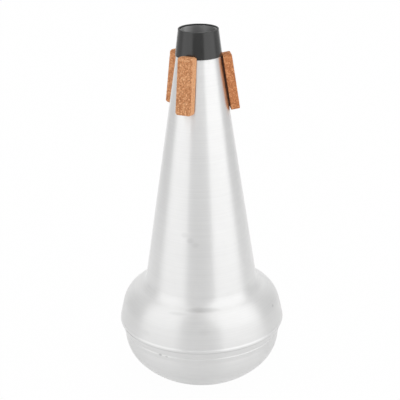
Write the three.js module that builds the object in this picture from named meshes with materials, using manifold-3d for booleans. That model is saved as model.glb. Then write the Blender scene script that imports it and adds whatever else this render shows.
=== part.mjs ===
import * as THREE from 'three';
import { mergeVertices } from 'three/addons/utils/BufferGeometryUtils.js';
import Module from 'manifold-3d';

// A mute for a tenor trombone, in millimetres. +Z is up, the foot stands on z = 0 and the
// axis that the metal was spun about is Z. The front is -Y.
// Two spun aluminium shells are lapped and bonded at a seam. A black sleeve covers the neck's
// end, and three cork strips on the cone hold the mute in the bell.

// Whole mute
const muteLength = 245;         // foot to the rim of the neck sleeve
const seamHeight = 41;          // foot to the lip's lower edge
const sheet = 0.9;              // thickness of both aluminium shells
const fitGap = 0.1;             // between a sleeve, a bond or a glue pad and the metal it grips

// Bulb, outside: a long side arc, a tighter shoulder arc and a fillet up into the cone
const bulbRadius = 56.8;        // at the equator, where the side arc stands upright
const equatorDrop = 8.7;        // equator, below the seam
const sideArcRadius = 82;
const sideArcEnd = 16;          // degrees of lean at which the shoulder arc takes over
const shoulderRadius = 17.3;
const neckFilletRadius = 8;
const lipRadius = 2.5;          // of the bead that the shell's lower edge is rolled to
const lipRiseShare = 0.5;       // of that radius, from the edge up to the bead's middle
const lipProud = 0.3;           // the bead stands out from the side arc

// Cone, outside
const neckRadius = 12;          // at the neck's cut end
const neckEndDrop = 0.8;        // the cut end, below the sleeve's rim
const coneFootRadius = 38.5;    // level with the top of the shoulder arc

// Bowl, outside
const footRadius = 22.5;        // the flat that it stands on
const flankRadius = 26.5;
const flankEnd = 42;            // degrees of lean at which the flank runs into the bottom arc
const flankTaper = 0.9;         // narrowing from the crease down to the flank
const bandSetback = 0.85;       // the band's top edge, inside the shell's surface
const bandTaper = 1.5;          // narrowing of the band down to its crease
const bandHeight = 5;           // crease, below the seam
const creaseStep = 0.25;        // step out from the band, at its crease
const creaseHeight = 0.4;       // and down
const bandTopDrop = 0.4;        // band's top edge, below the seam
const tongueStart = 0.4;        // where the joggle ends, above the seam
const tongueHeight = 6;         // the bowl's tongue, up inside the shell
const bondWidth = 0.6;          // space between tongue and shell
const bondStart = 2;            // bond, above the seam
const bondHeight = 3;

// Neck sleeve
const sleeveHeight = 17.2;
const sleeveFootWall = 0.6;
const sleeveRimWall = 1.05;
const rimRound = 0.3;

// Cork strips and the glue pads behind them
const corkLength = 37;
const corkWidth = 10.8;
const corkThickness = 5.9;
const corkCorner = 1.8;
const corkEdge = 0.6;           // rounding of the faces' edges
const corkOverlap = 2.2;        // the front strip's top end lies over the sleeve's foot
const corkBackGap = 0.3;        // between its flat back and the sleeve
const corkDrop = 0.3;           // top ends of the right and the rear strip, below the sleeve's foot
const rightBed = 0.5;           // flat back to cone, at the right strip's middle line
const rearBed = 1;              // and at the rear strip's
const glueWidth = 6.4;
const glueCorner = 1;
const glueEndGap = 2;           // the pad stops short of the strip's bottom end
const glueTopGap = 0.5;         // and of the sleeve's foot or the strip's top end
const glueRoot = 1;             // depth of the uncut pad inside the cone's surface
const frontAngle = 246.7;       // degrees about Z from +X, as placed by hand
const rightAngle = 6.7;
const rearAngle = 134;

// Facets
const turnSteps = 64;
const lipSteps = 3;
const sideSteps = 4;
const shoulderSteps = 7;
const filletSteps = 6;
const bowlSteps = 5;            // of the bottom arc, and of the flank
const lapSteps = 2;
const cornerSteps = 3;
const edgeSteps = 2;

const wasm = await Module();
wasm.setup();

const aluminium = { color: 0xd6d6d5, roughness: 0.36, metalness: 1 };
const blackSleeve = { color: 0x1c1d1f, roughness: 0.42, metalness: 0 };
const cork = { color: 0xbe8259, roughness: 0.9, metalness: 0 };
const driedGlue = { color: 0x55331f, roughness: 0.7, metalness: 0 };
const epoxy = { color: 0xb8ae98, roughness: 0.6, metalness: 0 };

const toRadians = THREE.MathUtils.degToRad;

// Places worked out from the sizes above. Profile points are (distance from Z, height).
const equator = seamHeight - equatorDrop;
const neckEnd = muteLength - neckEndDrop;
const sideCentre = new THREE.Vector2(bulbRadius - sideArcRadius, equator);
const sideEnd = onArc(sideCentre, sideArcRadius, toRadians(sideArcEnd));
const shoulderCentre = onArc(sideEnd, -shoulderRadius, toRadians(sideArcEnd));
const shoulderTop = shoulderCentre.y + shoulderRadius;
const coneLean = Math.atan((coneFootRadius - neckRadius) / (neckEnd - shoulderTop));
const coneOut = new THREE.Vector2(Math.cos(coneLean), Math.sin(coneLean));
const coneUp = new THREE.Vector2(-Math.sin(coneLean), Math.cos(coneLean));
const sleeveFoot = muteLength - sleeveHeight;

// The cone's outside radius at a height, with the surface moved out along its normal.
function coneRadius(height, out = 0) {
  return neckRadius + (neckEnd - height) * Math.tan(coneLean) + out / Math.cos(coneLean);
}

function onArc(centre, radius, angle) {
  return new THREE.Vector2(centre.x + radius * Math.cos(angle), centre.y + radius * Math.sin(angle));
}

// Points along an arc between two angles, which are measured from the outward direction.
function arc(centre, radius, from, to, steps) {
  return Array.from({ length: steps + 1 }, (_, i) => onArc(centre, radius, from + (to - from) * i / steps));
}

// The angle on the side arc, or on an arc about the same centre, at a height.
function sideAngle(height, radius = sideArcRadius) {
  return Math.asin((height - sideCentre.y) / radius);
}

// Where a small circle crosses a big one: the angle at the small one's centre between the way out
// from the big one's centre and the crossing, by the law of cosines.
function cornerAngle(small, between, big) {
  return Math.acos((big ** 2 - between ** 2 - small ** 2) / (2 * between * small));
}

// The profile's parallel on its left side, with mitred corners.
function parallel(profile, distance) {
  return profile.map((point, i) => {
    const before = profile[Math.max(i - 1, 0)];
    const after = profile[Math.min(i + 1, profile.length - 1)];
    const turns = [[before, point], [point, after]].filter(([a, b]) => a !== b);
    const lefts = turns.map(([a, b]) => new THREE.Vector2(a.y - b.y, b.x - a.x).normalize());
    const middle = lefts.reduce((sum, left) => sum.clone().add(left)).normalize();
    return point.clone().addScaledVector(middle, distance / middle.dot(lefts[0]));
  });
}

// A solid of revolution about Z from an outline, which runs with the solid on its left.
function turned(outline, closed = true) {
  const points = closed ? [...outline, outline[0].clone()] : outline;
  const geometry = new THREE.LatheGeometry(points, turnSteps);
  return geometry.rotateX(Math.PI / 2);
}

function piece(name, geometry, finish) {
  const mesh = new THREE.Mesh(geometry, new THREE.MeshStandardMaterial(finish));
  mesh.name = name;
  return mesh;
}

// Spun shell of cone, fillet, shoulder and beaded lip, open at both ends. Its fillet rolls in
// the corner between the shoulder arc and the cone, so it is tangent to both.
function upperShell() {
  const beadArcRadius = sideArcRadius + lipProud - lipRadius;
  const beadMiddle = sideAngle(seamHeight + lipRadius * lipRiseShare, beadArcRadius);
  const beadCentre = onArc(sideCentre, beadArcRadius, beadMiddle);
  const beadEnd = -Math.asin(lipRiseShare);
  const beadCorner = cornerAngle(lipRadius, beadArcRadius, sideArcRadius);
  const sideStart = beadMiddle + Math.asin(lipRadius * Math.sin(beadCorner) / sideArcRadius);
  const neckPoint = new THREE.Vector2(neckRadius, neckEnd);
  const across = neckFilletRadius - shoulderCentre.clone().sub(neckPoint).dot(coneOut);
  const along = Math.sqrt((shoulderRadius + neckFilletRadius) ** 2 - across ** 2);
  const filletCentre = shoulderCentre.clone()
    .addScaledVector(coneOut, across)
    .addScaledVector(coneUp, along);
  const crown = filletCentre.clone().sub(shoulderCentre).angle();
  const outside = [
    ...arc(beadCentre, lipRadius, beadEnd, beadMiddle + beadCorner, lipSteps),
    ...arc(sideCentre, sideArcRadius, sideStart, toRadians(sideArcEnd), sideSteps).slice(1),
    ...arc(shoulderCentre, shoulderRadius, toRadians(sideArcEnd), crown, shoulderSteps).slice(1),
    ...arc(filletCentre, neckFilletRadius, crown + Math.PI, coneLean + Math.PI, filletSteps).slice(1),
    neckPoint,
  ];
  const outline = [...outside, ...parallel(outside, sheet).reverse()];
  return piece('upper_shell', turned(outline), aluminium);
}

// The tongue and the bond lie along the shell's inner face, on arcs about the side arc's centre.
const tongueArcRadius = sideArcRadius - sheet - bondWidth;

// Spun bowl: flat foot, bottom arc, flank, a crease, a tapered band below the seam, and a tongue
// joggled in to fit inside the shell. The bottom arc leaves the flank smoothly and meets the foot.
function baseBowl() {
  const bandTop = onArc(sideCentre, sideArcRadius, sideAngle(seamHeight)).x - bandSetback;
  const bandFoot = bandTop - bandTaper;
  const creaseFoot = new THREE.Vector2(bandFoot + creaseStep, seamHeight - bandHeight - creaseHeight);
  const flankCentre = new THREE.Vector2(creaseFoot.x - flankTaper - flankRadius, equator);
  const flankStart = onArc(flankCentre, flankRadius, -toRadians(flankEnd));
  const footEdge = new THREE.Vector2(footRadius, 0);
  const inward = onArc(new THREE.Vector2(), -1, -toRadians(flankEnd));
  const reach = footEdge.clone().sub(flankStart);
  const bottomRadius = reach.lengthSq() / (2 * reach.dot(inward));
  const bottomCentre = flankStart.clone().addScaledVector(inward, bottomRadius);
  const footAngle = Math.atan2(footEdge.y - bottomCentre.y, footEdge.x - bottomCentre.x);
  const tongueFoot = sideAngle(seamHeight + tongueStart, tongueArcRadius);
  const tongueTop = sideAngle(seamHeight + tongueHeight, tongueArcRadius);
  const outside = [
    new THREE.Vector2(),
    ...arc(bottomCentre, bottomRadius, footAngle, -toRadians(flankEnd), bowlSteps),
    ...arc(flankCentre, flankRadius, -toRadians(flankEnd), 0, bowlSteps).slice(1),
    creaseFoot,
    new THREE.Vector2(bandFoot, seamHeight - bandHeight),
    new THREE.Vector2(bandTop, seamHeight - bandTopDrop),
    ...arc(sideCentre, tongueArcRadius, tongueFoot, tongueTop, lapSteps),
  ];
  const inside = parallel(outside, sheet).reverse();
  inside[inside.length - 1].x = 0;
  return piece('base_bowl', turned([...outside, ...inside], false), aluminium);
}

// The bond that fills the lap, between the tongue and the shell.
function seamBond() {
  const faces = [tongueArcRadius + fitGap, sideArcRadius - sheet - fitGap];
  const levels = [seamHeight + bondStart, seamHeight + bondStart + bondHeight];
  const [inner, outer] = faces.map((radius) => {
    const [low, high] = levels.map((level) => sideAngle(level, radius));
    return arc(sideCentre, radius, low, high, lapSteps);
  });
  return piece('seam_bond', turned([...outer, ...inner.reverse()]), epoxy);
}

// Tapered sleeve pushed over the neck. Its bore follows the cone and goes on past the cut end.
function neckSleeve() {
  const bore = (height) => coneRadius(height, fitGap);
  const rimOut = bore(muteLength) + sleeveRimWall;
  const outer = new THREE.Vector2(rimOut - rimRound, muteLength - rimRound);
  const inner = new THREE.Vector2(bore(muteLength) + rimRound, muteLength - rimRound);
  const outline = [
    new THREE.Vector2(bore(sleeveFoot) + sleeveFootWall, sleeveFoot),
    ...arc(outer, rimRound, 0, Math.PI / 2, cornerSteps),
    ...arc(inner, rimRound, Math.PI / 2, Math.PI, cornerSteps),
    new THREE.Vector2(bore(neckEnd - neckEndDrop), neckEnd - neckEndDrop),
    new THREE.Vector2(bore(sleeveFoot), sleeveFoot),
  ];
  return piece('neck_sleeve', turned(outline), blackSleeve);
}

// A flat rectangle with round corners, centred across and running up from its foot.
function roundedStrip(width, length, corner) {
  const half = width / 2;
  const shape = new THREE.Shape();
  shape.moveTo(corner - half, 0);
  shape.lineTo(half - corner, 0);
  shape.absarc(half - corner, corner, corner, -Math.PI / 2, 0);
  shape.lineTo(half, length - corner);
  shape.absarc(half - corner, length - corner, corner, 0, Math.PI / 2);
  shape.lineTo(corner - half, length);
  shape.absarc(corner - half, length - corner, corner, Math.PI / 2, Math.PI);
  shape.lineTo(-half, corner);
  shape.absarc(corner - half, corner, corner, Math.PI, 1.5 * Math.PI);
  return shape;
}

function manifoldFrom(geometry) {
  const bare = geometry.clone();
  bare.deleteAttribute('normal');
  bare.deleteAttribute('uv');
  const merged = mergeVertices(bare);
  const vertProperties = new Float32Array(merged.attributes.position.array);
  const triVerts = new Uint32Array(merged.index.array);
  return new wasm.Manifold(new wasm.Mesh({ numProp: 3, vertProperties, triVerts }));
}

function geometryFrom(solid) {
  const mesh = solid.getMesh();
  const geometry = new THREE.BufferGeometry();
  geometry.setAttribute('position', new THREE.BufferAttribute(mesh.vertProperties, 3));
  geometry.setIndex(new THREE.BufferAttribute(mesh.triVerts, 1));
  geometry.computeVertexNormals();
  return geometry;
}

// The front strip lies over the sleeve's foot, so its back stands clear of the sleeve, which is
// proud of the cone there. The backs of the other two lie close on their beds of glue.
const sleeveLean = (coneRadius(sleeveFoot) + sleeveFootWall - coneRadius(muteLength) - sleeveRimWall)
  / sleeveHeight;
const sleeveProud = sleeveFootWall + corkOverlap * (Math.tan(coneLean) - sleeveLean);
const overSleeve = (fitGap + sleeveProud) * Math.cos(coneLean) + corkBackGap;
const strips = [
  { name: 'front', angle: frontAngle, top: corkOverlap, back: overSleeve },
  { name: 'right', angle: rightAngle, top: -corkDrop, back: rightBed },
  { name: 'rear', angle: rearAngle, top: -corkDrop, back: rearBed },
];

// Height of a strip's foot, on the cone.
function stripFoot(strip) {
  return sleeveFoot + strip.top - corkLength * Math.cos(coneLean);
}

// The frame that a strip is built in stands on the cone's surface at the strip's foot:
// x runs round the cone, y up along it and z out from it.
function stripFrame(strip) {
  const foot = stripFoot(strip);
  return new THREE.Matrix4()
    .makeBasis(
      new THREE.Vector3(0, 1, 0),
      new THREE.Vector3(coneUp.x, 0, coneUp.y),
      new THREE.Vector3(coneOut.x, 0, coneOut.y),
    )
    .setPosition(coneRadius(foot), 0, foot);
}

function corkStrip(strip) {
  const geometry = new THREE.ExtrudeGeometry(roundedStrip(corkWidth, corkLength, corkCorner), {
    depth: corkThickness - 2 * corkEdge,
    bevelThickness: corkEdge,
    bevelSize: corkEdge,
    bevelOffset: -corkEdge,
    bevelSegments: edgeSteps,
    curveSegments: cornerSteps,
  });
  const mesh = piece(`cork_${strip.name}`, geometry, cork);
  mesh.position.z = strip.back + corkEdge;
  return mesh;
}

// Glue pad between a strip's flat back and the round cone, hollowed by the cone's own facets.
function gluePad(strip) {
  const underSleeve = Math.max(strip.top, 0) / Math.cos(coneLean);
  const length = corkLength - underSleeve - glueTopGap - glueEndGap;
  const block = new THREE.ExtrudeGeometry(roundedStrip(glueWidth, length, glueCorner), {
    depth: glueRoot + strip.back - fitGap,
    bevelEnabled: false,
    curveSegments: cornerSteps,
  });
  block.translate(0, glueEndGap, -glueRoot);
  const turn = new THREE.Matrix4().makeRotationZ(toRadians(strip.angle));
  const toStrip = turn.multiply(stripFrame(strip)).invert();
  const bottom = stripFoot(strip) - corkWidth;
  const core = turned([
    new THREE.Vector2(0, bottom),
    new THREE.Vector2(coneRadius(bottom, fitGap), bottom),
    new THREE.Vector2(coneRadius(muteLength, fitGap), muteLength),
    new THREE.Vector2(0, muteLength),
  ], false).applyMatrix4(toStrip);
  const pad = manifoldFrom(block).subtract(manifoldFrom(core));
  return piece(`cork_glue_${strip.name}`, geometryFrom(pad), driedGlue);
}

const mute = new THREE.Group();
mute.add(upperShell(), baseBowl(), seamBond(), neckSleeve());
for (const strip of strips) {
  const station = new THREE.Group();
  station.rotation.z = toRadians(strip.angle);
  const seat = new THREE.Group();
  seat.applyMatrix4(stripFrame(strip));
  seat.add(corkStrip(strip), gluePad(strip));
  station.add(seat);
  mute.add(station);
}

export default mute;
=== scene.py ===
"""A spun aluminium trombone mute with a black neck sleeve and three cork strips, in metres.

A profile is an array of complex numbers: the real part is the distance from the mute's axis
and the imaginary part is the height above the foot. Outlines run with the solid on their left.
"""
import math

import bmesh
import bpy
import numpy as np
from mathutils import Matrix, Vector


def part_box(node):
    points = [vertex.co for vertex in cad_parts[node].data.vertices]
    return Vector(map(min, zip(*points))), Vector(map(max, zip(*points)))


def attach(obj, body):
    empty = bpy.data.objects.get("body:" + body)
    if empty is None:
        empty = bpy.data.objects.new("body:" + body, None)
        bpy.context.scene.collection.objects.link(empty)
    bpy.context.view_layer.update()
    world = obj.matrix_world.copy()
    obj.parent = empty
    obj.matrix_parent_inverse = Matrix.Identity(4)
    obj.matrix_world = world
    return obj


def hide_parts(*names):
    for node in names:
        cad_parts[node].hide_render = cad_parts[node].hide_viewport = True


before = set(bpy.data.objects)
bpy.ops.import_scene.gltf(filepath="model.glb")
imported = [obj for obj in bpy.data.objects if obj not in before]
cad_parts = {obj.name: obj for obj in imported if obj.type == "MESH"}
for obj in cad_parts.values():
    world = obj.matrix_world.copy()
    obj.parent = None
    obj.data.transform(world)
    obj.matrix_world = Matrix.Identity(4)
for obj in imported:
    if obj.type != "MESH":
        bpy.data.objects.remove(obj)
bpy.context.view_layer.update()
shell_low, shell_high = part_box("upper_shell")
sleeve_low, sleeve_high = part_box("neck_sleeve")
bond_low, bond_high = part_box("seam_bond")
tongue_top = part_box("base_bowl")[1].z

# Spun metal
SHEET = 0.0009
SEAM_HEIGHT = shell_low.z
NECK_END = shell_high.z
NECK_RADIUS = 0.012
BULB_RADIUS = 0.0568
EQUATOR_HEIGHT = SEAM_HEIGHT - 0.0087
SIDE_ARC_RADIUS = 0.082
SIDE_ARC_END = math.radians(16)
SHOULDER_RADIUS = 0.0173
CONE_FOOT_RADIUS = 0.0385
FILLET_RADIUS = 0.008
LIP_RADIUS = 0.0025
LIP_RISE_SHARE = 0.5
LIP_PROUD = 0.0003
FOOT_RADIUS = 0.0225
FLANK_RADIUS = 0.0265
FLANK_END = math.radians(42)
FLANK_TAPER = 0.0009
BAND_SETBACK = 0.00085
BAND_TAPER = 0.0015
BAND_HEIGHT = 0.005
CREASE_STEP = 0.00025
CREASE_HEIGHT = 0.0004
BAND_TOP_DROP = 0.0004
TONGUE_START = 0.0004
BOND_WIDTH = 0.0006
CREASE_EASE = 0.0002          # rounding of the bowl's creases
FLANK_EASE = 0.0015           # and of the bend where the flank begins
CUT_EASE = 0.00012            # rounding of cut edges
FIT_GAP = 0.0001
SHELL_TOOL = (0.000012, 0.0041)   # depth and spacing of the tool's passes on the shell
BOWL_TOOL = (0.000016, 0.0052)    # and on the bowl
SECOND_PASS = 0.618           # spacing of the second sine of the passes, in first ones

# Neck sleeve
SLEEVE_FOOT_WALL = 0.0006
SLEEVE_RIM_WALL = 0.00105
SLEEVE_RIM_ROUND = 0.0003
SLEEVE_STEP = 0.0008          # below the neck's end, where the bore's last stretch begins
SLEEVE_FOOT_EDGE = 4 * CUT_EASE   # height on the bore at which the foot's rounding starts

# Cork strips and glue
CORK_LENGTH = 0.037
CORK_WIDTH = 0.0108
CORK_THICKNESS = 0.0059
CORK_CORNER = 0.0018
CORK_EDGE = 0.0006            # rounding of the face's edges
CORK_BACK_EDGE = 0.0002       # and of the back's
CORK_OVERLAP = 0.0022         # of the front strip, over the sleeve's foot
CORK_BACK_GAP = 0.0003        # between its back and the sleeve
CORK_DROP = 0.0003            # of the other two strips' top ends, below the sleeve's foot
RIGHT_BED = 0.0005            # flat back to cone, at the right strip's middle line
REAR_BED = 0.001              # and at the rear strip's
GLUE_WIDTH = 0.0064
GLUE_CORNER = GLUE_WIDTH / 6
GLUE_END_GAP = 0.002
GLUE_TOP_GAP = 0.0005
GLUE_WANDER = 0.0004          # how far the glue's outline strays from a straight one
GLUE_WAVES = (5, 9, 14, 23)   # the waves round the outline by which it strays

# Relief of the cork: sizes and depths in metres, widths in granules
GRANULE = 0.00125
SEAM_WIDTH = 0.22             # of the groove between granules
LOST_GRANULE = GRANULE * 1.9  # spacing of the places of lost granules
LOST_WIDTH = 0.2
PIT_DEPTH = 0.00016           # of a lost granule's place
SEAM_DEPTH = 0.45             # of the groove, as a share of that
BULGE_DEPTH = 0.25            # of a granule's rim below its middle, as a share of that
CHIP_SIZE = 0.0042
CHIP_WIDTH = 0.4
CHIP_DEPTH = 0.0003
SAWN_RELIEF = 0.6             # relief of the sawn sides, as a share of the faces' relief
SAWN_NORMAL = 0.7             # share of the normal across the strip that makes a sawn side
FLAT_NORMAL = 0.97            # largest share of a normal, past which nothing chips
PALE_FROM, PALE_WITHIN = 0.4, 0.3   # share of the normal where the pale side begins, and its ramp
LOST_SEED, CHIP_SEED = 5, 9   # added to a strip's own seed

# An even scatter: the mix of a cell's three numbers, the shifts of the three results and the wave
SCATTER_MIX = np.array([12.9898, 78.233, 37.719])
SCATTER_SHIFTS = (0, 1.7, 3.1)
SCATTER_WAVE = 43758.5453
FAR = 9.0                     # in cells, further than any centre

# Mesh
TURNS = 192
FINE = 0.0007
ROUND_FINE = FINE / 2         # along the shoulder and the fillet
BEAD_FINE = FINE / 4          # along the lip's bead
RIM_FINE = FINE / 10          # along the sleeve's rim
COARSE = 0.003                # along inner faces
ROUND_COARSE = COARSE / 2
CORK_SPACING = 0.00028
GLUE_SPACING = 0.0004
GLUE_WALL_STEPS = 3
EDGE_STEPS = 4                # round a slab's edge
LEAST_ARC_STEPS = 4
LEAST_FLAT_STEPS = 3
SHARP_ANGLE = math.radians(35)
MERGE = 1e-7

# Photograph's view: the camera stands on the mute's front side
CAMERA_SIDE = -0.00024
CAMERA_BACK = 0.719
CAMERA_HEIGHT = 0.4132
CAMERA_PITCH = math.radians(21.67)
CAMERA_ROLL = math.radians(-0.69)
LENS = 103.5
SENSOR = 36


def angle_of(point):
    """The angle of a complex number from the outward direction."""
    return float(np.angle(point))


def bow(centre, radius, start, stop, spacing=FINE):
    """An arc: centre + radius e^(i t), with t going evenly from start to stop."""
    steps = max(LEAST_ARC_STEPS, math.ceil(abs(stop - start) * radius / spacing))
    return centre + radius * np.exp(1j * np.linspace(start, stop, steps + 1))


def run(start, stop, spacing=FINE):
    """Evenly spaced points on the straight line from start to stop."""
    steps = max(1, math.ceil(abs(stop - start) / spacing))
    return start + (stop - start) * np.linspace(0, 1, steps + 1)


def joined(*parts):
    """The parts end to end, each point that repeats the one before it left out."""
    points = np.concatenate([np.atleast_1d(part) for part in parts]).astype(complex)
    moved = np.abs(np.diff(points)) > MERGE
    return points[np.concatenate([[True], moved])]


def eased(corners, ease, steps=5):
    """A polyline with each inner corner c replaced by the parabola (1-t)^2 a + 2t(1-t) c + t^2 b,
    where a and b lie on its two sides, at the ease or half the side's length from c."""
    points = [corners[0]]
    t = np.linspace(0, 1, steps + 1)
    for before, corner, after in zip(corners, corners[1:], corners[2:]):
        a = corner + (before - corner) * min(ease / abs(before - corner), 0.5)
        b = corner + (after - corner) * min(ease / abs(after - corner), 0.5)
        points.extend((1 - t) ** 2 * a + 2 * t * (1 - t) * corner + t ** 2 * b)
    points.append(corners[-1])
    return joined(np.array(points))


def left_of(profile):
    """Unit normals on the profile's left: the central difference of its points, turned by a
    quarter."""
    along = np.gradient(profile)
    return 1j * along / np.abs(along)


def parallel(profile, distance):
    """The profile's parallel on its left, mitred: a point moves by distance (a + b) / (1 + a . b),
    where a and b are the unit normals on the left of its two sides."""
    along = np.diff(profile)
    left = 1j * along / np.abs(along)
    before, after = np.concatenate([left[:1], left]), np.concatenate([left, left[-1:]])
    return profile + distance * (before + after) / (1 + (before * np.conj(after)).real)


def grid_mesh(name, grid, number):
    """A mesh from a grid of points and the grid of their numbers: the quad (i, j), (i, j+1),
    (i+1, j+1), (i+1, j) for each cell."""
    quads = np.stack([number[:-1, :-1], number[:-1, 1:], number[1:, 1:], number[1:, :-1]], -1)
    mesh = bpy.data.meshes.new(name)
    mesh.from_pydata(grid.reshape(-1, 3).tolist(), [], quads.reshape(-1, 4).tolist())
    return mesh


def smooth_object(mesh):
    """The mesh, shaded smooth, as an object of the scene with its name."""
    mesh.polygons.foreach_set("use_smooth", np.ones(len(mesh.polygons), bool))
    made = bpy.data.objects.new(mesh.name, mesh)
    bpy.context.scene.collection.objects.link(made)
    return made


def solid_object(name, grid, wrap_rows, wrap_columns):
    """A solid's skin from a grid of points that may wrap round, with doubled points merged, which
    closes seams and poles, and turned right side out."""
    rows, columns = grid.shape[:2]
    number = np.arange(rows * columns).reshape(rows, columns)
    if wrap_rows:
        number = np.concatenate([number, number[:1]])
    if wrap_columns:
        number = np.concatenate([number, number[:, :1]], axis=1)
    mesh = grid_mesh(name, grid, number)
    shaped = bmesh.new()
    shaped.from_mesh(mesh)
    bmesh.ops.remove_doubles(shaped, verts=shaped.verts, dist=MERGE)
    if shaped.calc_volume(signed=True) < 0:
        bmesh.ops.reverse_faces(shaped, faces=shaped.faces)
    shaped.to_mesh(mesh)
    shaped.free()
    made = smooth_object(mesh)
    mesh.set_sharp_from_angle(angle=SHARP_ANGLE)
    return made


def turned(name, profile, closed=True):
    """A body turned about Z: the profile's point (r, h) goes to (r cos t, r sin t, h) for each
    angle t. An open profile starts and ends on the axis."""
    t = np.linspace(0, 2 * np.pi, TURNS, endpoint=False)
    radius, height = profile.real[:, None], profile.imag[:, None]
    grid = np.stack([radius * np.cos(t), radius * np.sin(t), height + 0 * t], -1)
    return solid_object(name, grid, closed, True)


def settle(piece, node, finish):
    """The piece stands for a node of the frame, rides on the mute and wears its finish."""
    piece.data.materials.append(finish)
    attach(piece, "root")
    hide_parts(node)


# Outlines of the metal. The side arc stands upright at the equator.
side_centre = complex(BULB_RADIUS - SIDE_ARC_RADIUS, EQUATOR_HEIGHT)
side_end = side_centre + SIDE_ARC_RADIUS * np.exp(1j * SIDE_ARC_END)
shoulder_centre = side_end - SHOULDER_RADIUS * np.exp(1j * SIDE_ARC_END)
shoulder_top = shoulder_centre.imag + SHOULDER_RADIUS
cone_lean = math.atan((CONE_FOOT_RADIUS - NECK_RADIUS) / (NECK_END - shoulder_top))
cone_out = np.exp(1j * cone_lean)
cone_up = 1j * cone_out
neck_point = complex(NECK_RADIUS, NECK_END)
tongue_arc = SIDE_ARC_RADIUS - SHEET - BOND_WIDTH
crease_height = SEAM_HEIGHT - BAND_HEIGHT - CREASE_HEIGHT


def cone_radius(height, out=0):
    """The cone's outside radius at a height, with the surface moved out along its normal."""
    return NECK_RADIUS + (NECK_END - height) * math.tan(cone_lean) + out / math.cos(cone_lean)


def side_angle(height, radius=SIDE_ARC_RADIUS):
    """The angle at which an arc about the side arc's centre reaches a height."""
    return math.asin((height - side_centre.imag) / radius)


def side_point(angle):
    """A point of the side arc."""
    return side_centre + SIDE_ARC_RADIUS * np.exp(1j * angle)


def tooled(profile, depth, wave):
    """The profile sunk between the passes of the spinner's tool, by a quarter of the depth times
    2 + the sum of two sines of the distance along it, so it never stands proud."""
    along = np.concatenate([[0], np.cumsum(np.abs(np.diff(profile)))])
    turns = 2 * np.pi * along / wave
    passes = np.sin(turns) + np.sin(turns / SECOND_PASS + 1)
    return profile + left_of(profile) * depth * (2 + passes) / 4


def corner_angle(small, between, big):
    """Where a small circle crosses a big one: the angle at the small one's centre between the way
    out from the big one's centre and the crossing, by the law of cosines."""
    return math.acos((big ** 2 - between ** 2 - small ** 2) / (2 * between * small))


def shell_outline():
    """Upper shell: beaded lip, side arc, shoulder, a fillet tangent to shoulder and cone, and cone,
    with the inside one sheet away from the outside."""
    bead_arc = SIDE_ARC_RADIUS + LIP_PROUD - LIP_RADIUS
    bead_middle = side_angle(SEAM_HEIGHT + LIP_RADIUS * LIP_RISE_SHARE, bead_arc)
    bead_centre = side_centre + bead_arc * np.exp(1j * bead_middle)
    bead_end = -math.asin(LIP_RISE_SHARE)
    bead_corner = corner_angle(LIP_RADIUS, bead_arc, SIDE_ARC_RADIUS)
    bead_top = bead_middle + bead_corner
    side_start = bead_middle + math.asin(LIP_RADIUS * math.sin(bead_corner) / SIDE_ARC_RADIUS)
    offset = shoulder_centre - neck_point
    across = FILLET_RADIUS - (offset * np.conj(cone_out)).real
    along = math.sqrt((SHOULDER_RADIUS + FILLET_RADIUS) ** 2 - across ** 2)
    fillet_centre = shoulder_centre + across * cone_out + along * cone_up
    crown = angle_of(fillet_centre - shoulder_centre)
    fillet_end = fillet_centre - FILLET_RADIUS * cone_out
    smooth = joined(
        bow(side_centre, SIDE_ARC_RADIUS, side_start, SIDE_ARC_END),
        bow(shoulder_centre, SHOULDER_RADIUS, SIDE_ARC_END, crown, ROUND_FINE),
        bow(fillet_centre, FILLET_RADIUS, crown + np.pi, cone_lean + np.pi, ROUND_FINE),
        run(fillet_end, neck_point - CUT_EASE * cone_up),
    )
    smooth = tooled(smooth, *SHELL_TOOL)
    bead = bow(bead_centre, LIP_RADIUS, bead_end, bead_top - CREASE_EASE / LIP_RADIUS, BEAD_FINE)
    lip = joined(bead, eased([bead[-1], side_point(side_start), smooth[1]], CREASE_EASE)[1:])
    inner_neck = neck_point - SHEET * cone_out
    inside = joined(
        bow(bead_centre, LIP_RADIUS - SHEET, bead_end, bead_middle, BEAD_FINE),
        bow(side_centre, SIDE_ARC_RADIUS - SHEET, side_start, SIDE_ARC_END, COARSE),
        bow(shoulder_centre, SHOULDER_RADIUS - SHEET, SIDE_ARC_END, crown, ROUND_COARSE),
        bow(fillet_centre, FILLET_RADIUS + SHEET, crown + np.pi, cone_lean + np.pi, ROUND_COARSE),
        run(fillet_end - SHEET * cone_out, inner_neck - CUT_EASE * cone_up, COARSE),
    )
    middle = neck_point - SHEET / 2 * cone_out
    cut = eased([smooth[-1], neck_point, middle, inner_neck, inside[-1]], CUT_EASE)
    points = joined(lip, smooth[2:], cut, inside[::-1])
    return np.minimum(points.real, shell_high.x) + 1j * points.imag


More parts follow.
